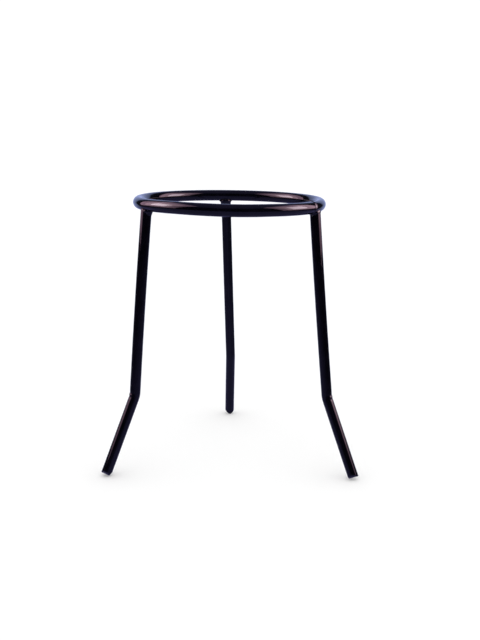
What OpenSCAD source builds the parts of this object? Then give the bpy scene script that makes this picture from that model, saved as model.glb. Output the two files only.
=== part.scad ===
// Small laboratory tripod stand: a ring of round steel rod on three bent rod
// legs. The origin is on the floor under the centre of the ring, with +Z up
// and +X to the right. Lists of three go left leg, right leg, back leg.

/* [Ring] */
// Diameter of the ring, measured along the centreline of its rod
ring_d = 126; // [90:1:180]
// Diameter of the rod that the ring is bent from
ring_rod_d = 8.2; // [6:0.1:12]
// Height of the top of the ring above the floor
stand_h = 192; // [160:1:260]

/* [Ring seam] */
// How far round from the right leg the two ends of the ring meet
seam_turn = -5.5; // [-9:0.5:-5]
// Gap between the two ends, filled by the seam weld
seam_gap = 1; // [0.6:0.1:1.6]
// How far the seam weld lies below the skin of the ring
seam_sink = 0.3; // [0.1:0.1:0.8]

/* [Legs] */
// Diameter of the rod that the legs are bent from
leg_rod_d = 7.4; // [5:0.1:9]
// How far each leg stands outside the centreline of the ring
leg_offset = 0.5; // [0:0.1:1.5]
// Length from the underside of the ring to the corner of the knee
upper_leg_l = 127.9; // [80:0.1:140]
// Angle of the bend at each knee
knee_bend = 16.8; // [8:0.1:30]
// Radius of the bend, measured along the centreline of the rod
knee_r = 14; // [10:0.5:25]
// How far the top of each leg laps up round the ring
leg_lap = 1.4; // [0.8:0.1:2]

/* [Hand-set differences of the legs] */
// Turn of each leg away from an even third of the ring
leg_turn = [-0.5, 5, 2.5]; // [-8:0.5:8]
// Outward lean of each upper leg
leg_lean = [4.1, 5.8, 4.8]; // [2:0.1:9]
// Sideways lean of each upper leg
leg_tilt = [-0.9, 0.1, -2.4]; // [-4:0.1:4]
// Turn of each knee about its leg
knee_turn = [-9.5, -9.5, 5.5]; // [-15:0.5:15]
// How far each knee is bent below its marked place
knee_slip = [-0.7, 0.6, 0]; // [-3:0.1:3]

/* [Feet] */
// Slope of the two faces that the cutter leaves on the end of each leg
cut_slope = 35; // [25:1:45]
// Width of the ridge between the two faces
ridge_w = 0.6; // [0.2:0.1:2]
// Turn of each ridge away from the plane of the knee
ridge_turn = [-40, 20, 0]; // [-60:5:60]

/* [Welds under the ring] */
// How far each weld spreads out from its leg
weld_spread = 1.2; // [0.8:0.1:1.6]
// How far each weld runs down its leg
weld_drop = 3; // [2:0.5:6]
// Thickness of the lower edge of each weld
weld_edge = 0.2; // [0.1:0.05:0.4]
// How far each weld climbs the side of the ring
weld_rise = 2.2; // [2.1:0.1:2.8]

/* [Hidden] */
$fn = 96;

LEFT = 0;
RIGHT = 1;
BACK = 2;
EVEN_THIRDS = [210, 330, 90];
CUTTER = 40;

ring_r = ring_d / 2;
ring_rod_r = ring_rod_d / 2;
leg_rod_r = leg_rod_d / 2;
ring_mid_h = stand_h - ring_rod_r;
leg_top_r = ring_r + leg_offset;
leg_top_h = stand_h - ring_rod_d;
seam_azimuth = EVEN_THIRDS[RIGHT] + leg_turn[RIGHT] + seam_turn;
seam_angle = 2 * asin(seam_gap / 2 / ring_r);
// Distance from the corner of the knee to each end of its bend
knee_tangent = knee_r * tan(knee_bend / 2);
// Half the length of the ridge on a foot
ridge_half_l = sqrt(pow(leg_rod_r, 2) - pow(ridge_w / 2, 2));
// How far the hollow flank of a weld comes in on its way down
weld_hollow = weld_spread - weld_edge;
weld_flank_r = (pow(weld_drop, 2) + pow(weld_hollow, 2)) / (2 * weld_hollow);
weld_r = leg_rod_r + weld_spread;

enamel = [0.06, 0.06, 0.09];
bead_enamel = [0.1, 0.1, 0.13];

// Rise towards +Z of a direction given in the frame of a leg's upper rod
function leg_rise(leg, v) =
    let (across = v.x * cos(knee_turn[leg]) - v.y * sin(knee_turn[leg]),
         along = v.x * sin(knee_turn[leg]) + v.y * cos(knee_turn[leg]))
    across * sin(leg_lean[leg])
    + (along * sin(leg_tilt[leg]) + v.z * cos(leg_tilt[leg])) * cos(leg_lean[leg]);

// The same for a direction given in the frame of the lower rod
function shin_rise(leg, v) =
    leg_rise(leg, [v.x * cos(knee_bend) - v.z * sin(knee_bend),
                   v.y,
                   v.x * sin(knee_bend) + v.z * cos(knee_bend)]);

function thigh_l(leg) = upper_leg_l + knee_slip[leg];

// How far the lowest corner of a foot's ridge lies below the ridge's middle
function foot_dip(leg) =
    ridge_half_l * abs(shin_rise(leg, [cos(ridge_turn[leg]), sin(ridge_turn[leg]), 0]))
    + ridge_w / 2 * abs(shin_rise(leg, [-sin(ridge_turn[leg]), cos(ridge_turn[leg]), 0]));

// Length from the knee to the ridge that stands the foot on the floor
function shin_l(leg) =
    (leg_top_h + leg_rise(leg, [0, 0, -thigh_l(leg)]) - foot_dip(leg))
    / shin_rise(leg, [0, 0, 1]);

// Puts its children in the frame of a leg's upper rod, whose top is the
// origin and which runs down -Z with its knee bending towards +X
module on_leg(leg) {
    rotate([0, 0, EVEN_THIRDS[leg] + leg_turn[leg]])
        translate([leg_top_r, 0, leg_top_h])
            rotate([leg_tilt[leg], -leg_lean[leg], 0])
                rotate([0, 0, knee_turn[leg]])
                    children();
}

// The ring's rod bent through an angle from a start, r thick
module ring_bar(r, start, angle) {
    translate([0, 0, ring_mid_h])
        rotate([0, 0, start])
            rotate_extrude(angle = angle)
                translate([ring_r, 0])
                    circle(r = r);
}

// Takes away what lies below the two cut faces, whose ridge is on X
module cutter_faces() {
    for (side = [0, 180])
        rotate([0, 0, side])
            translate([0, ridge_w / 2, 0])
                rotate([cut_slope, 0, 0])
                    translate([-CUTTER / 2, 0, -CUTTER])
                        cube([CUTTER, CUTTER, CUTTER]);
}

// Half of a bent rod, about the centre of its bend: a straight of the given
// length above half of the bend, which ends on the level plane there. The
// straight's half turn puts the line where its skin closes on the bend's line.
module half_rod(length) {
    rotate([0, knee_bend / 2, 0])
        translate([-knee_r, 0, 0])
            rotate([0, 0, 180])
                cylinder(r = leg_rod_r, h = length);
    intersection() {
        rotate([0, knee_bend / 2, 0])
            rotate([90, 0, 0])
                rotate([0, 0, 180])
                    rotate_extrude(angle = knee_bend)
                        translate([knee_r, 0])
                            circle(r = leg_rod_r);
        translate([-CUTTER, -CUTTER / 2, 0])
            cube(CUTTER);
    }
}

// The lower half of a leg's rod, with its cut foot
module shin(leg) {
    to_ridge = shin_l(leg) - knee_tangent;
    difference() {
        mirror([0, 0, 1])
            half_rod(to_ridge);
        rotate([0, -knee_bend / 2, 0])
            translate([-knee_r, 0, -to_ridge])
                rotate([0, 0, ridge_turn[leg]])
                    cutter_faces();
    }
}

// One leg's rod before its top is shaped to the ring
module bent_rod(leg) {
    translate([knee_r, 0, knee_tangent - thigh_l(leg)])
        rotate([0, -knee_bend / 2, 0]) {
            half_rod(thigh_l(leg) - knee_tangent + leg_lap);
            shin(leg);
        }
}

module leg(leg) {
    color(enamel)
        difference() {
            on_leg(leg) bent_rod(leg);
            ring_bar(ring_rod_r, 0, 360);
        }
}

// Half the section of a weld round a leg: a hollow flank that starts at a thin
// edge below, a sloped toe above, and the hole that the leg's rod fills
module weld_section() {
    difference() {
        union() {
            translate([0, -weld_drop])
                square([weld_r, weld_drop]);
            polygon([[0, 0], [weld_r, 0], [leg_rod_r, weld_rise], [0, weld_rise]]);
        }
        translate([leg_rod_r + weld_edge + weld_flank_r, -weld_drop])
            circle(r = weld_flank_r);
        translate([0, -weld_drop])
            square([leg_rod_r, weld_drop + leg_lap]);
    }
}

module weld(leg) {
    color(bead_enamel)
        difference() {
            on_leg(leg) rotate_extrude() weld_section();
            ring_bar(ring_rod_r, 0, 360);
        }
}

module ring() {
    color(enamel)
        ring_bar(ring_rod_r, seam_azimuth + seam_angle / 2, 360 - seam_angle);
}

module ring_seam_weld() {
    color(bead_enamel)
        ring_bar(ring_rod_r - seam_sink, seam_azimuth - seam_angle / 2, seam_angle);
}

module leg_left() {
    leg(LEFT);
}

module leg_right() {
    leg(RIGHT);
}

module leg_back() {
    leg(BACK);
}

module weld_left() {
    weld(LEFT);
}

module weld_right() {
    weld(RIGHT);
}

module weld_back() {
    weld(BACK);
}

ring();
ring_seam_weld();
leg_left();
leg_right();
leg_back();
weld_left();
weld_right();
weld_back();
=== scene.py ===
import math

import bpy
from mathutils import Matrix, Vector
from mathutils.geometry import intersect_line_line, intersect_point_line


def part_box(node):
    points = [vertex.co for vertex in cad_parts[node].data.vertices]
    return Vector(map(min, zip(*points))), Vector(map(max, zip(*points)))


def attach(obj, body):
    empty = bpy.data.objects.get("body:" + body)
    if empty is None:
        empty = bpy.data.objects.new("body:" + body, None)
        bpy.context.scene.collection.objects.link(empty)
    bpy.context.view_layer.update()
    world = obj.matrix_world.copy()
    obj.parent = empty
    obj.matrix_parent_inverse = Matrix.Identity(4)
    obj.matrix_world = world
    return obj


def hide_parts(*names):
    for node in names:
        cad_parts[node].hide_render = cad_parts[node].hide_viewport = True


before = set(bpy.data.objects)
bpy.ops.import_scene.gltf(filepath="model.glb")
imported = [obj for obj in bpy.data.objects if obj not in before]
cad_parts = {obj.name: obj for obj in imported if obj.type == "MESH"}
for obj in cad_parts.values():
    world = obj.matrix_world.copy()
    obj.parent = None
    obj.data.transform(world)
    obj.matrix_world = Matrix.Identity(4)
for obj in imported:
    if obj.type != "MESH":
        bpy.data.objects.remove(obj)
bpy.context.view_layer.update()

# A small laboratory tripod stand in glossy black enamel: a ring of steel rod
# closed by a seam weld, on three bent rod legs that are welded up under it.
# Everything is in metres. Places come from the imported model, and the values
# here are only what its surfaces carry and the studio round it.

MM = 0.001
LEGS = ("left", "right", "back")

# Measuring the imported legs: heights up a leg, as shares of its height. Two are
# on the upper rod and two on the lower, and the waist is where it is gauged.
ROD_SHARES = (0.9, 0.45, 0.22, 0.06)
WAIST_SHARE = 0.5
# How far the drawn rod runs on below the floor before its foot is cut
TOE_SPARE = MM
# Height below which the cutter's faces lie, and how squarely they face down
FOOT_ZONE = 9 * MM
FOOT_FACING = 0.5

# Bench
MERGE_REACH = 0.001 * MM
HARD_EDGE = math.radians(25)
SMOOTH_BELOW = math.radians(40)

# Ring
RING_SIDES = 64
RING_STEPS = 300
RING_END_GAP = 0.9 * MM
RING_END_ROUND = 0.15 * MM
RING_END_REACH = 45 * MM
RING_END_SINK = 0.35 * MM
RING_WAVES = (0.06 * MM, 9 * MM)
HOLLOW_STEPS = 360

# Rise of the ring's front left, where it was never pressed quite flat
WARP_RISE = 0.5 * MM
WARP_TURN = math.radians(237)
WARP_REACH = math.radians(45)
# How far the seam runs on round the ring for each metre that it climbs
SEAM_SKEW = 0.35
SKEW_REACH = 10 * MM

# Seam bead
BEAD_SIDES = 72
BEAD_WAVES = (0.06 * MM, 1.2 * MM)
# Place along the ring and rise over its skin: a long flank, a crest, a drop
BEAD_PROFILE = (
    (-1.8 * MM, -0.3 * MM),
    (-1.6 * MM, 0.02 * MM),
    (-1.1 * MM, 0.17 * MM),
    (-0.6 * MM, 0.32 * MM),
    (-0.1 * MM, 0.34 * MM),
    (0.3 * MM, 0.12 * MM),
    (0.55 * MM, -0.1 * MM),
    (0.7 * MM, -0.3 * MM),
)

# Legs
ROD_SIDES = 48
ROD_STEP = 1.6 * MM
KNEE_TANGENT = 2.07 * MM
KNEE_STEPS = 12
LEG_WAVES = (0.07 * MM, 7 * MM)
# How far the middle of each upper rod bows towards the hollow of its knee
LEG_BOW = {"left": 0.35 * MM, "right": -0.3 * MM, "back": 0.2 * MM}
FOOT_ROUND = {"left": 1.4 * MM, "right": 0.8 * MM, "back": 0.1 * MM}
# Burr that the cutter spread out beside each ridge, and its reach up the leg.
# It grows from the edge of the ridge to its full width near the skin.
FOOT_BURR = {"left": 0.0, "right": 0.0, "back": 0.5 * MM}
BURR_REACH = 3.5 * MM
BURR_START = 0.1 * MM
BURR_FULL = 3 * MM
# Wrinkle that the bender leaves across the hollow side of each knee
CREASE_RISE = 0.3 * MM
CREASE_WIDTH = 0.9 * MM
CREASE_REACH = 6 * MM
CREASE_STEP = 0.4 * MM
# How many widths from the corner the wrinkle ends, and how narrow it is across
CREASE_END = 4
CREASE_FOCUS = 3
# Corner knocked off a foot: the way it faces, and its depth from the furthest
# point of the foot on that side
FOOT_CHIP = {
    "left": ((0.7, -0.1, -0.7), 1.2 * MM),
    "right": ((-0.75, -0.1, -0.65), 0.5 * MM),
}

# Welds under the ring: height along the leg and spread out from it
WELD_SIDES = 80
WELD_WAVES = (0.3 * MM, 1.3 * MM, 0.55)
WELD_PROFILE = (
    (-2.8 * MM, 0.08 * MM),
    (-2.0 * MM, 0.18 * MM),
    (-1.3 * MM, 0.36 * MM),
    (-0.8 * MM, 0.6 * MM),
    (-0.4 * MM, 0.92 * MM),
    (-0.1 * MM, 1.25 * MM),
    (0.3 * MM, 1.35 * MM),
    (0.9 * MM, 0.95 * MM),
    (1.5 * MM, 0.4 * MM),
    (1.9 * MM, 0.05 * MM),
)
# How far each bead lies towards the middle of the ring, and round it
WELD_SHIFT = {
    "left": (0.4 * MM, 0.1 * MM),
    "right": (0.13 * MM, 0.14 * MM),
    "back": (0.4 * MM, 0.3 * MM),
}
# Size of each bead against the profile above
WELD_SIZE = {"left": 0.6, "right": 0.55, "back": 0.9}
# How much narrower a full-sized bead is across the ring than round it
WELD_SQUEEZE = 0.18

# Camera
CAMERA_AT = (0, -596.5 * MM, 238.1 * MM)
CAMERA_LENS = 47.64
CAMERA_PITCH = math.radians(12.72)
CAMERA_YAW = math.radians(0.81)
CAMERA_ROLL = math.radians(0.79)
CAMERA_SENSOR = 36
CAMERA_NEAR = 0.01
CAMERA_FAR = 50

# Enamel, in linear colour
BLACK = (0.0004, 0.0004, 0.0007)
VIOLET_BLACK = (0.0014, 0.0011, 0.0026)
BARE_STEEL = (0.16, 0.15, 0.155)
ENAMEL_IOR = 1.5
ENAMEL_ROUGH = (0.045, 0.085)
WELD_ROUGHER = 0.08
BARE_ROUGH = 0.5
# Sizes of the enamel's patterns, in waves to the metre
TONE_SCALE = 90
GLOSS_SCALE = 260
PEEL_SCALE = 900
DUST_SCALE = 5200
CHIP_SCALE = 1500
RUB_SCALE = 1100
# Height of the orange peel and of the dust caught in the gloss
PEEL_DEPTH = 0.02 * MM
DUST_DEPTH = 0.004 * MM
# Height on the feet where the enamel starts to be rubbed, and where it is gone
RUB_TOP = 1.6 * MM
RUB_END = 0.1 * MM

# Floor
STUDIO_SIZE = 6.0
FLOOR_TONES = ((0.965, 0.965, 0.965), (0.985, 0.985, 0.985))
FLOOR_SCALE = 3
FLOOR_ROUGH = 0.8

# Softboxes: name, direction from the front, lowest and highest angle and half
# the width, all in degrees, then distance from the ring, strength and colour.
# The ones on a side stand in each other, so their light adds up to a hot core.
LEFT_REACH = 1.15
RIGHT_REACH = 0.85
COOL_WHITE = (1.0, 0.84, 0.93)
PINK = (1.0, 0.68, 0.75)
MAUVE = (1.0, 0.62, 0.84)
SOFTBOXES = (
    ("left_core", -93, 12, 37, 12, LEFT_REACH, 7, COOL_WHITE),
    ("left_panel", -94, 5, 50, 22, LEFT_REACH, 1.9, PINK),
    ("left_glow", -95, -3, 60, 34, LEFT_REACH, 1.7, MAUVE),
    ("right_core", 89, 8, 35, 12, RIGHT_REACH, 6, COOL_WHITE),
    ("right_panel", 93, 0, 46, 25, RIGHT_REACH, 1.7, PINK),
    ("right_glow", 90, -3.5, 55, 31, RIGHT_REACH, 1.6, MAUVE),
)

# What the gloss mirrors: a dark studio with a lavender wall behind the stand,
# a floor that reads blue, and a dim ceiling. A stop at 0 is in front and one at
# 1 behind, and these two come first because the ramp already has them.
WALL_STOPS = (
    (0.0, (0.012, 0.01, 0.03)),
    (1.0, (0.5, 0.58, 1.0)),
    (0.3, (0.012, 0.01, 0.03)),
    (0.5, (0.03, 0.025, 0.05)),
    (0.75, (0.012, 0.01, 0.022)),
    (0.9, (0.02, 0.02, 0.03)),
    (0.925, (0.38, 0.45, 0.78)),
)
# How much sooner the wall starts for each step that a direction points down
WALL_SLANT = -0.55
FLOOR_GLOW = (0.16, 0.15, 0.37)
FLOOR_GLOW_SPAN = (-0.1, -0.45)
CEILING_GLOW = (0.12, 0.11, 0.25)
CEILING_GLOW_SPAN = (0.5, 0.85)
WHITE_STRENGTH = 1.09


# ---------------------------------------------------------------- measuring

def section(node, height):
    """Points where a level plane crosses the skin of a CAD node."""
    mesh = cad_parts[node].data
    points = []
    for edge in mesh.edges:
        a, b = (mesh.vertices[i].co for i in edge.vertices)
        if (a.z - height) * (b.z - height) < 0:
            points.append(a.lerp(b, (height - a.z) / (b.z - a.z)))
    return points


def middle(points):
    """Centre of the box round some points."""
    low = Vector([min(p[i] for p in points) for i in range(3)])
    high = Vector([max(p[i] for p in points) for i in range(3)])
    return (low + high) / 2


def leg_route(node):
    """Top, knee corner and toe of a leg's centreline, and the radius of its rod."""
    low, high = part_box(node)
    upper, shoulder, shin, ankle = (
        middle(section(node, low.z + share * (high.z - low.z)))
        for share in ROD_SHARES
    )
    knee = sum(intersect_line_line(upper, shoulder, shin, ankle), Vector()) / 2
    down = (ankle - knee).normalized()
    up = (upper - knee).normalized()
    top = knee + up * (high.z - knee.z) / up.z
    toe = knee + down * (knee.z - low.z + TOE_SPARE) / -down.z
    around = section(node, low.z + WAIST_SHARE * (high.z - low.z))
    radius = max((p - intersect_point_line(p, knee, upper)[0]).length for p in around)
    return top, knee, toe, radius


def foot_planes(node, down):
    """A point and the normal of each face that the cutter left on a foot."""
    planes = {}
    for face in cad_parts[node].data.polygons:
        if face.center.z < FOOT_ZONE and face.normal.dot(down) > FOOT_FACING:
            facing = tuple(round(n, 2) for n in face.normal)
            planes[facing] = (face.center.copy(), face.normal.copy())
    return list(planes.values())


RING_LOW, RING_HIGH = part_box("ring")
RING_ROD_R = (RING_HIGH.z - RING_LOW.z) / 2
RING_MID = (RING_HIGH.z + RING_LOW.z) / 2
RING_R = (RING_HIGH.x - RING_LOW.x) / 2 - RING_ROD_R
SEAM_AT = middle(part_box("ring_seam_weld"))
SEAM_TURN = math.atan2(SEAM_AT.y, SEAM_AT.x)
SEAM_ALONG = Vector((-math.sin(SEAM_TURN), math.cos(SEAM_TURN), 0))


# ------------------------------------------------------------- bench tools

def deselect():
    """Leaves edit mode with nothing selected."""
    if bpy.context.mode != "OBJECT":
        bpy.ops.object.mode_set(mode="OBJECT")
    bpy.ops.object.select_all(action="DESELECT")


def named(name):
    """Names the primitive that was just added and opens it for editing."""
    piece = bpy.context.object
    piece.name = name
    piece.data.name = name
    bpy.ops.object.mode_set(mode="EDIT")
    bpy.ops.mesh.select_all(action="SELECT")
    return piece


def rod_end(name, sides, radius, at, along):
    """An open circle of rod, square to the way that it will be drawn out."""
    deselect()
    turn = along.to_track_quat("Z", "Y").to_euler()
    bpy.ops.mesh.primitive_circle_add(vertices=sides, radius=radius, location=at, rotation=turn)
    return named(name)


def draw_out(path):
    """Extrudes the selected edge loop along a path of short steps."""
    for start, stop in zip(path, path[1:]):
        bpy.ops.mesh.extrude_region_move(TRANSFORM_OT_translate={"value": stop - start})


def straight(start, stop, step):
    """Points from start to stop, about a step apart."""
    count = max(1, round((stop - start).length / step))
    return [start.lerp(stop, i / count) for i in range(count + 1)]


def close_up(piece):
    """Welds seams, fills the open ends and turns every face outwards."""
    bpy.ops.mesh.select_all(action="SELECT")
    bpy.ops.mesh.remove_doubles(threshold=MERGE_REACH)
    bpy.ops.mesh.fill_holes(sides=0)
    bpy.ops.mesh.select_all(action="SELECT")
    bpy.ops.mesh.normals_make_consistent(inside=False)
    bpy.ops.object.mode_set(mode="OBJECT")
    bpy.ops.object.transform_apply(location=True, rotation=True, scale=True)
    return piece


def only(piece):
    """Selects one piece and makes it the active one."""
    deselect()
    piece.select_set(True)
    bpy.context.view_layer.objects.active = piece


def apply_last(piece):
    """Applies the modifier that was added last."""
    only(piece)
    bpy.ops.object.modifier_apply(modifier=piece.modifiers[-1].name)


def round_edges(piece, width):
    """Rounds the hard edges of a piece."""
    bevel = piece.modifiers.new("Rounded", "BEVEL")
    bevel.width = width
    bevel.segments = 3
    bevel.limit_method = "ANGLE"
    bevel.angle_limit = HARD_EDGE
    apply_last(piece)


def lie_unevenly(piece, depth, size, level=1.0):
    """Dips the skin by up to depth in soft waves of one size."""
    waves = bpy.data.textures.new(piece.name + "_waves", "CLOUDS")
    waves.noise_scale = size
    waves.noise_depth = 1
    uneven = piece.modifiers.new("Uneven", "DISPLACE")
    uneven.texture = waves
    uneven.texture_coords = "LOCAL"
    uneven.mid_level = level
    uneven.strength = depth
    apply_last(piece)


def soften(piece):
    """Smooths a drawn profile once."""
    smooth = piece.modifiers.new("Smooth", "SUBSURF")
    smooth.levels = 1
    smooth.render_levels = 1
    apply_last(piece)


def cut_away(piece, cutter):
    """Takes one solid out of another."""
    cut = piece.modifiers.new("Cut", "BOOLEAN")
    cut.operation = "DIFFERENCE"
    cut.solver = "EXACT"
    cut.object = cutter
    apply_last(piece)


def largest_part(piece):
    """Drops the crumbs that a cut left loose."""
    only(piece)
    name = piece.name
    bpy.ops.mesh.separate(type="LOOSE")
    parts = sorted(bpy.context.selected_objects, key=lambda part: len(part.data.vertices))
    largest = parts.pop()
    for part in parts:
        bpy.data.objects.remove(part)
    largest.name = name
    return largest


def finished(piece, node, finish):
    """Smooths a piece, paints it and lets it stand for its CAD node."""
    only(piece)
    bpy.ops.object.shade_smooth_by_angle(angle=SMOOTH_BELOW)
    piece.data.materials.clear()
    piece.data.materials.append(finish)
    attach(piece, "root")
    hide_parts(node)
    return piece


# ------------------------------------------------------------------- pieces

def seam_side(point):
    """How far past the seam a point lies, along the ring's centreline."""
    turn = math.atan2(point.y, point.x) - SEAM_TURN
    return RING_R * math.remainder(turn, 2 * math.pi)


def eased(far, reach):
    """A soft share, from one on the spot down to none at its reach."""
    near = 1 - min(1, abs(far) / reach)
    return near * near * (3 - 2 * near)


def sink_ends(piece):
    """Drops the ring's two ends a little, where the bender let them go."""
    for vertex in piece.data.vertices:
        vertex.co.z -= RING_END_SINK * eased(seam_side(vertex.co), RING_END_REACH)


def warp(piece):
    """Lifts the stretch of ring that was never pressed quite flat."""
    for vertex in piece.data.vertices:
        turn = math.remainder(math.atan2(vertex.co.y, vertex.co.x) - WARP_TURN, 2 * math.pi)
        vertex.co.z += WARP_RISE * eased(turn, WARP_REACH)


def lean_seam(piece):
    """Sets the seam askew, as a rod cut a little out of square closes."""
    for vertex in piece.data.vertices:
        near = 1 - min(1, abs(seam_side(vertex.co)) / SKEW_REACH)
        vertex.co += SEAM_ALONG * SEAM_SKEW * (vertex.co.z - RING_MID) * near


def ring_rod():
    """The ring's rod, from one side of its seam right round to the other.

    The spin runs clockwise seen from above, so it starts on that side of the gap.
    """
    half_gap = RING_END_GAP / 2 / RING_R
    start = SEAM_TURN - half_gap
    at = Vector((RING_R * math.cos(start), RING_R * math.sin(start), RING_MID))
    along = Vector((-math.sin(start), math.cos(start), 0))
    piece = rod_end("ring_rod", RING_SIDES, RING_ROD_R, at, along)
    bpy.ops.mesh.spin(
        steps=RING_STEPS, angle=2 * math.pi - 2 * half_gap, center=(0, 0, 0), axis=(0, 0, 1)
    )
    close_up(piece)
    round_edges(piece, RING_END_ROUND)
    lean_seam(piece)
    sink_ends(piece)
    warp(piece)
    lie_unevenly(piece, *RING_WAVES)
    return piece


def seam_bead(ring_piece):
    """A raised bead right round the rod, between the ring's two ends."""
    along = SEAM_ALONG
    height = RING_MID - RING_END_SINK
    centre = Vector((RING_R * math.cos(SEAM_TURN), RING_R * math.sin(SEAM_TURN), height))
    first, rise = BEAD_PROFILE[0]
    piece = rod_end("seam_bead", BEAD_SIDES, RING_ROD_R + rise, centre + along * first, along)
    for (last, was), (place, rise) in zip(BEAD_PROFILE, BEAD_PROFILE[1:]):
        bpy.ops.mesh.extrude_region_move(TRANSFORM_OT_translate={"value": along * (place - last)})
        share = (RING_ROD_R + rise) / (RING_ROD_R + was)
        bpy.ops.transform.resize(value=(share, share, share), center_override=centre + along * place)
    close_up(piece)
    soften(piece)
    lean_seam(piece)
    lie_unevenly(piece, *BEAD_WAVES)
    cut_away(piece, ring_piece)
    return largest_part(piece)


def burr(piece, toe, down, cuts, spread):
    """Spreads the end of a leg to both sides of the ridge that the cutter left."""
    steepest = min(cuts, key=lambda cut: cut[1].dot(down))[1]
    across = (steepest - down * steepest.dot(down)).normalized()
    for vertex in piece.data.vertices:
        out = vertex.co - toe
        near = max(0, 1 + (out.dot(down) + BURR_REACH / 2) / BURR_REACH)
        side = out.dot(across)
        if near > 0 and abs(side) > BURR_START:
            push = math.copysign(min(1, near) ** 2 * spread, side)
            vertex.co += across * push * min(1, abs(side) / BURR_FULL)


def crease(piece, knee, up, down):
    """Raises a wrinkle across the hollow side of a knee, sunk on both its sides."""
    hollow_side = (up + down).normalized()
    along = (up - down).normalized()
    for vertex in piece.data.vertices:
        out = vertex.co - knee
        far = out.dot(along) / CREASE_WIDTH
        if abs(far) < CREASE_END:
            facing = max(0, out.dot(hollow_side) / out.length) ** CREASE_FOCUS
            wave = (1 - far * far) * math.exp(-far * far / 2)
            vertex.co += hollow_side * CREASE_RISE * facing * wave


def bow(piece, top, knee, inward, depth):
    """Bows a leg's upper rod between its weld and its knee."""
    thigh = (top - knee).length
    up = (top - knee).normalized()
    for vertex in piece.data.vertices:
        share = (vertex.co - knee).dot(up) / thigh
        if 0 < share < 1:
            vertex.co += inward * depth * math.sin(math.pi * share)


def cut_foot(node, side, cuts):
    """Cuts the faces of a foot, and the corner that was knocked off it."""
    bpy.ops.object.mode_set(mode="EDIT")
    faces = list(cuts)
    if side in FOOT_CHIP:
        facing, depth = FOOT_CHIP[side]
        facing = Vector(facing).normalized()
        corners = (vertex.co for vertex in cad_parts[node].data.vertices)
        furthest = max(corners, key=facing.dot)
        faces.append((furthest - facing * depth, facing))
    for point, normal in faces:
        bpy.ops.mesh.select_all(action="SELECT")
        bpy.ops.mesh.bisect(plane_co=point, plane_no=normal, use_fill=True, clear_outer=True)
    bpy.ops.object.mode_set(mode="OBJECT")


def leg_rod(side):
    """A leg's rod, drawn down from its top, bent at the knee and cut at the foot."""
    node = "leg_" + side
    top, knee, toe, radius = leg_route(node)
    up = (top - knee).normalized()
    down = (toe - knee).normalized()
    bend = up.angle(-down)
    hinge = up.cross(down).normalized()
    bend_start = knee + up * KNEE_TANGENT
    bend_stop = knee + down * KNEE_TANGENT
    bend_r = KNEE_TANGENT / math.tan(bend / 2)
    inward = (down + up).normalized()
    bend_centre = bend_start + (inward - up * inward.dot(up)).normalized() * bend_r
    piece = rod_end(node + "_rod", ROD_SIDES, radius, top, -up)
    draw_out(straight(top, knee + up * CREASE_REACH, ROD_STEP))
    draw_out(straight(knee + up * CREASE_REACH, bend_start, CREASE_STEP))
    bpy.ops.mesh.spin(steps=KNEE_STEPS, angle=bend, center=bend_centre, axis=hinge)
    draw_out(straight(bend_stop, knee + down * CREASE_REACH, CREASE_STEP))
    draw_out(straight(knee + down * CREASE_REACH, toe, ROD_STEP))
    close_up(piece)
    cuts = foot_planes(node, down)
    cut_foot(node, side, cuts)
    round_edges(piece, FOOT_ROUND[side])
    burr(piece, toe, down, cuts, FOOT_BURR[side])
    bow(piece, top, knee, inward, LEG_BOW[side])
    crease(piece, knee, up, down)
    lie_unevenly(piece, *LEG_WAVES)
    return piece


def weld_bead(side, leg_piece, ring_cutter):
    """The bead round the top of a leg, fitted to the leg and the ring."""
    top, knee, _, radius = leg_route("leg_" + side)
    up = (top - knee).normalized()
    at = knee + up * (RING_LOW.z - knee.z) / up.z
    out = Vector((at.x, at.y, 0)).normalized()
    inward, round_ring = WELD_SHIFT[side]
    at += Vector((-out.y, out.x, 0)) * round_ring - out * inward
    profile = [(place, spread * WELD_SIZE[side]) for place, spread in WELD_PROFILE]
    first, spread = profile[0]
    piece = rod_end("weld_" + side + "_bead", WELD_SIDES, radius + spread, at + up * first, up)
    for (last, was), (place, spread) in zip(profile, profile[1:]):
        bpy.ops.mesh.extrude_region_move(TRANSFORM_OT_translate={"value": up * (place - last)})
        share = (radius + spread) / (radius + was)
        bpy.ops.transform.resize(value=(share, share, share), center_override=at + up * place)
    close_up(piece)
    for vertex in piece.data.vertices:
        vertex.co -= out * (vertex.co - at).dot(out) * WELD_SQUEEZE * WELD_SIZE[side]
    soften(piece)
    lie_unevenly(piece, *WELD_WAVES)
    cut_away(piece, ring_cutter)
    cut_away(piece, leg_piece)
    return largest_part(piece)


def ring_hollow():
    """A plain copy of the ring's own shape, to cope what meets it."""
    deselect()
    bpy.ops.mesh.primitive_torus_add(
        major_radius=RING_R, minor_radius=RING_ROD_R,
        major_segments=HOLLOW_STEPS, minor_segments=RING_SIDES,
        location=(0, 0, RING_MID),
    )
    cutter = named("ring_hollow")
    bpy.ops.object.mode_set(mode="OBJECT")
    bpy.ops.object.transform_apply(location=True)
    warp(cutter)
    return cutter


# ---------------------------------------------------------------- materials

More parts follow.
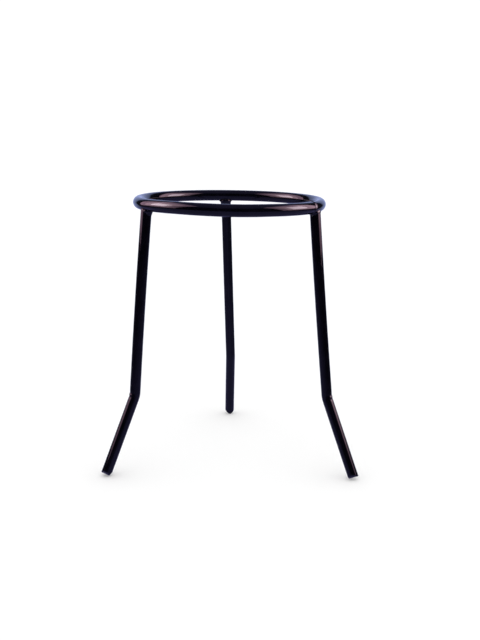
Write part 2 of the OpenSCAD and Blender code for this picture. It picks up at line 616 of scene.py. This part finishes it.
class Bench:
    """Short words for laying out one material's nodes."""

    def __init__(self, name):
        self.material = bpy.data.materials.new(name)
        self.material.use_nodes = True
        self.nodes = self.material.node_tree.nodes
        self.links = self.material.node_tree.links
        self.shader = self.nodes["Principled BSDF"]
        place = self.nodes.new("ShaderNodeTexCoord")
        self.place = place.outputs["Object"]

    def noise(self, scale, detail):
        node = self.nodes.new("ShaderNodeTexNoise")
        node.inputs["Scale"].default_value = scale
        node.inputs["Detail"].default_value = detail
        self.links.new(self.place, node.inputs["Vector"])
        return node.outputs["Fac"]

    def spread(self, source, low, high, to_low, to_high):
        node = self.nodes.new("ShaderNodeMapRange")
        node.inputs["From Min"].default_value = low
        node.inputs["From Max"].default_value = high
        node.inputs["To Min"].default_value = to_low
        node.inputs["To Max"].default_value = to_high
        self.links.new(source, node.inputs["Value"])
        return node.outputs["Result"]

    def maths(self, kind, first, second):
        node = self.nodes.new("ShaderNodeMath")
        node.operation = kind
        for socket, value in zip(node.inputs, (first, second)):
            if isinstance(value, (int, float)):
                socket.default_value = value
            else:
                self.links.new(value, socket)
        return node.outputs["Value"]

    def blend(self, share, first, second):
        node = self.nodes.new("ShaderNodeMix")
        node.data_type = "RGBA"
        self.links.new(share, node.inputs["Factor"])
        for socket, value in zip((node.inputs[6], node.inputs[7]), (first, second)):
            if isinstance(value, tuple):
                socket.default_value = value + (1,)
            else:
                self.links.new(value, socket)
        return node.outputs[2]

    def bump(self, height, depth, under=None):
        node = self.nodes.new("ShaderNodeBump")
        node.inputs["Distance"].default_value = depth
        node.inputs["Strength"].default_value = 0.5
        self.links.new(height, node.inputs["Height"])
        if under is not None:
            self.links.new(under, node.inputs["Normal"])
        return node.outputs["Normal"]

    def plug(self, name, source):
        self.links.new(source, self.shader.inputs[name])


def enamel(name, thin=0.0, worn_feet=False):
    """Glossy black enamel over steel rod, thinner and rougher on the beads.

    It is chipped to bare steel in places along sharp edges and, where the feet
    are worn, rubbed through where they stand.
    """
    bench = Bench(name)
    bench.shader.inputs["IOR"].default_value = ENAMEL_IOR
    tone = bench.spread(bench.noise(TONE_SCALE, 4), 0.35, 0.65, 0, 1)
    colour = bench.blend(tone, BLACK, VIOLET_BLACK)
    smooth, dull = ENAMEL_ROUGH
    rough = bench.spread(bench.noise(GLOSS_SCALE, 5), 0.3, 0.7, smooth + thin, dull + thin)
    peel = bench.bump(bench.noise(PEEL_SCALE, 2), PEEL_DEPTH)
    dust = bench.bump(bench.noise(DUST_SCALE, 2), DUST_DEPTH, peel)
    edge = bench.nodes.new("ShaderNodeNewGeometry").outputs["Pointiness"]
    sharp = bench.spread(edge, 0.54, 0.62, 0, 1)
    spots = bench.spread(bench.noise(CHIP_SCALE, 3), 0.5, 0.6, 0, 1)
    chip = bench.maths("MULTIPLY", sharp, spots)
    if worn_feet:
        split = bench.nodes.new("ShaderNodeSeparateXYZ")
        bench.links.new(bench.place, split.inputs["Vector"])
        low = bench.spread(split.outputs["Z"], RUB_TOP, RUB_END, 0, 1)
        patches = bench.spread(bench.noise(RUB_SCALE, 4), 0.42, 0.6, 0, 1)
        chip = bench.maths("MAXIMUM", chip, bench.maths("MULTIPLY", low, patches))
    colour = bench.blend(chip, colour, BARE_STEEL)
    rough = bench.maths("MAXIMUM", rough, bench.maths("MULTIPLY", chip, BARE_ROUGH))
    bench.plug("Base Color", colour)
    bench.plug("Roughness", rough)
    bench.plug("Normal", dust)
    return bench.material


def floor_paint():
    """Matt white paint, a little uneven."""
    bench = Bench("pale_floor")
    shade = bench.spread(bench.noise(FLOOR_SCALE, 3), 0.3, 0.7, 0, 1)
    bench.plug("Base Color", bench.blend(shade, *FLOOR_TONES))
    bench.shader.inputs["Roughness"].default_value = FLOOR_ROUGH
    bench.shader.inputs["Specular IOR Level"].default_value = 0
    return bench.material


# ------------------------------------------------------------------- studio

def camera():
    """The camera in front of the stand, looking a little down at it."""
    pitch, yaw, roll = CAMERA_PITCH, CAMERA_YAW, CAMERA_ROLL
    level = math.cos(pitch)
    ahead = Vector((math.sin(yaw) * level, math.cos(yaw) * level, -math.sin(pitch)))
    right = Vector((math.cos(yaw), -math.sin(yaw), 0))
    above = right.cross(ahead)
    across = math.cos(roll) * right + math.sin(roll) * above
    upward = -math.sin(roll) * right + math.cos(roll) * above
    data = bpy.data.cameras.new("camera")
    data.lens = CAMERA_LENS
    data.sensor_width = CAMERA_SENSOR
    data.clip_start = CAMERA_NEAR
    data.clip_end = CAMERA_FAR
    eye = bpy.data.objects.new("camera", data)
    turned = Matrix((across, upward, -ahead)).transposed().to_4x4()
    eye.matrix_world = Matrix.Translation(CAMERA_AT) @ turned
    bpy.context.scene.collection.objects.link(eye)
    bpy.context.scene.camera = eye


def softbox(name, azimuth, low, high, half_width, reach, radiance, colour):
    """A soft light seen from the ring between two angles up, in degrees."""
    tall = math.radians(high - low) / 2
    rise = math.radians(high + low) / 2
    turn = math.radians(azimuth)
    data = bpy.data.lights.new(name, "AREA")
    data.shape = "RECTANGLE"
    data.size = 2 * reach * math.tan(math.radians(half_width))
    data.size_y = 2 * reach * math.tan(tall)
    data.energy = radiance * math.pi * data.size * data.size_y
    data.color = colour
    light = bpy.data.objects.new(name, data)
    level = math.cos(rise)
    away = Vector((math.sin(turn) * level, -math.cos(turn) * level, math.sin(rise)))
    light.location = Vector((0, 0, RING_MID)) + away * reach
    light.rotation_euler = away.to_track_quat("Z", "Y").to_euler()
    light.visible_camera = False
    light.visible_diffuse = False
    bpy.context.scene.collection.objects.link(light)


def surroundings():
    """White round the stand, and a dark studio in what its gloss mirrors."""
    world = bpy.data.worlds.new("studio")
    world.use_nodes = True
    bpy.context.scene.world = world
    nodes, links = world.node_tree.nodes, world.node_tree.links
    nodes.clear()

    def between(source, low, high, kind="SMOOTHSTEP"):
        node = nodes.new("ShaderNodeMapRange")
        node.interpolation_type = kind
        node.inputs["From Min"].default_value = low
        node.inputs["From Max"].default_value = high
        links.new(source, node.inputs["Value"])
        return node.outputs["Result"]

    place = nodes.new("ShaderNodeTexCoord")
    split = nodes.new("ShaderNodeSeparateXYZ")
    links.new(place.outputs["Generated"], split.inputs["Vector"])
    below = nodes.new("ShaderNodeMath")
    below.operation = "MINIMUM"
    below.inputs[1].default_value = 0
    links.new(split.outputs["Z"], below.inputs[0])
    behind = nodes.new("ShaderNodeMath")
    behind.operation = "MULTIPLY_ADD"
    behind.inputs[1].default_value = WALL_SLANT
    links.new(below.outputs["Value"], behind.inputs[0])
    links.new(split.outputs["Y"], behind.inputs[2])
    wall = nodes.new("ShaderNodeValToRGB")
    links.new(between(behind.outputs["Value"], -1, 1, "LINEAR"), wall.inputs["Fac"])
    stops = wall.color_ramp.elements
    for number, (position, colour) in enumerate(WALL_STOPS):
        stop = stops[number] if number < 2 else stops.new(position)
        stop.position = position
        stop.color = colour + (1,)
    mirrored = wall.outputs["Color"]
    for span, colour in ((FLOOR_GLOW_SPAN, FLOOR_GLOW), (CEILING_GLOW_SPAN, CEILING_GLOW)):
        mix = nodes.new("ShaderNodeMix")
        mix.data_type = "RGBA"
        links.new(between(split.outputs["Z"], *span), mix.inputs["Factor"])
        links.new(mirrored, mix.inputs[6])
        mix.inputs[7].default_value = colour + (1,)
        mirrored = mix.outputs[2]
    dark = nodes.new("ShaderNodeBackground")
    links.new(mirrored, dark.inputs["Color"])
    white = nodes.new("ShaderNodeBackground")
    white.inputs["Color"].default_value = (1, 1, 1, 1)
    white.inputs["Strength"].default_value = WHITE_STRENGTH
    ray = nodes.new("ShaderNodeLightPath")
    choose = nodes.new("ShaderNodeMixShader")
    links.new(ray.outputs["Is Glossy Ray"], choose.inputs["Fac"])
    links.new(white.outputs["Background"], choose.inputs[1])
    links.new(dark.outputs["Background"], choose.inputs[2])
    output = nodes.new("ShaderNodeOutputWorld")
    links.new(choose.outputs["Shader"], output.inputs["Surface"])


def floor():
    """A plain pale floor, left out of what the gloss mirrors."""
    deselect()
    bpy.ops.mesh.primitive_plane_add(size=STUDIO_SIZE, location=(0, 0, 0))
    ground = bpy.context.object
    ground.name = "floor"
    ground.data.materials.append(floor_paint())
    ground.visible_glossy = False


camera()
surroundings()
floor()
for box in SOFTBOXES:
    softbox(*box)
bpy.context.scene.view_settings.view_transform = "Standard"

ring_enamel = enamel("ring_enamel")
leg_enamel = enamel("leg_enamel", worn_feet=True)
weld_enamel = enamel("weld_enamel", thin=WELD_ROUGHER)

hollow = ring_hollow()
ring = ring_rod()
bead = seam_bead(ring)
finished(ring, "ring", ring_enamel)
finished(bead, "ring_seam_weld", weld_enamel)
for side in LEGS:
    leg = leg_rod(side)
    weld = weld_bead(side, leg, hollow)
    cut_away(leg, hollow)
    finished(leg, "leg_" + side, leg_enamel)
    finished(weld, "weld_" + side, weld_enamel)
bpy.data.objects.remove(hollow)
